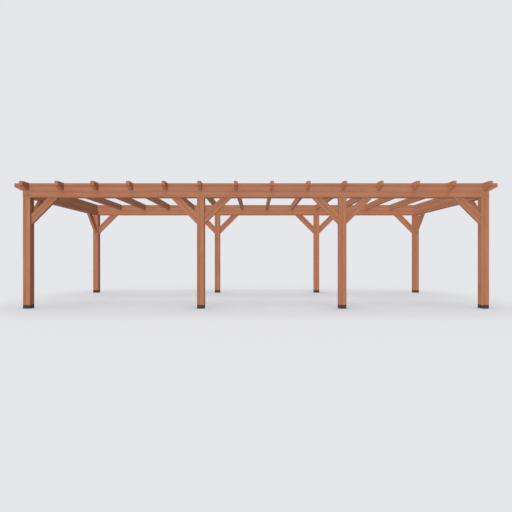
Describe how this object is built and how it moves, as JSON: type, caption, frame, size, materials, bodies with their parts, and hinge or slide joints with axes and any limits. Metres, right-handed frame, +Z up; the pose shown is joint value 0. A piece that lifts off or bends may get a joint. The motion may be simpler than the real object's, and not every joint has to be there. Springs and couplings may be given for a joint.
{
  "type": "patio cover",
  "caption": "Long open timber patio cover: square posts on dark steel shoes carry beams and flush rafters with sloped tails, stiffened by knee braces at every post.",
  "frame": {"origin": "on the ground, in the middle of the cover's length and depth", "axes": "+X along the front from left to right, +Y from the front to the back, +Z up"},
  "size_m": [9.134, 3.864, 2.376],
  "materials": {
    "timber": "red-brown stained softwood, planed, satin",
    "shoe_steel": "dark grey powder coat, matt"
  },
  "bodies": {
    "root": {"back_beam": "timber", "back_left_brace_to_right": "timber", "back_left_brace_to_side_beam": "timber", "back_left_post": "timber", "back_middle_left_brace_to_left": "timber", "back_middle_left_brace_to_right": "timber", "back_middle_left_post": "timber", "back_middle_right_brace_to_left": "timber", "back_middle_right_brace_to_right": "timber", "back_middle_right_post": "timber", "back_right_brace_to_left": "timber", "back_right_brace_to_side_beam": "timber", "back_right_post": "timber", "back_shoes": "shoe_steel", "front_beam": "timber", "front_left_brace_to_right": "timber", "front_left_brace_to_side_beam": "timber", "front_left_post": "timber", "front_middle_left_brace_to_left": "timber", "front_middle_left_brace_to_right": "timber", "front_middle_left_post": "timber", "front_middle_right_brace_to_left": "timber", "front_middle_right_brace_to_right": "timber", "front_middle_right_post": "timber", "front_right_brace_to_left": "timber", "front_right_brace_to_side_beam": "timber", "front_right_post": "timber", "front_shoes": "shoe_steel", "left_side_beam": "timber", "rafter_01": "timber", "rafter_02": "timber", "rafter_03": "timber", "rafter_04": "timber", "rafter_05": "timber", "rafter_06": "timber", "rafter_07": "timber", "rafter_08": "timber", "rafter_09": "timber", "rafter_10": "timber", "rafter_11": "timber", "rafter_12": "timber", "rafter_13": "timber", "rafter_14": "timber", "right_side_beam": "timber"}
  },
  "joints": []
}
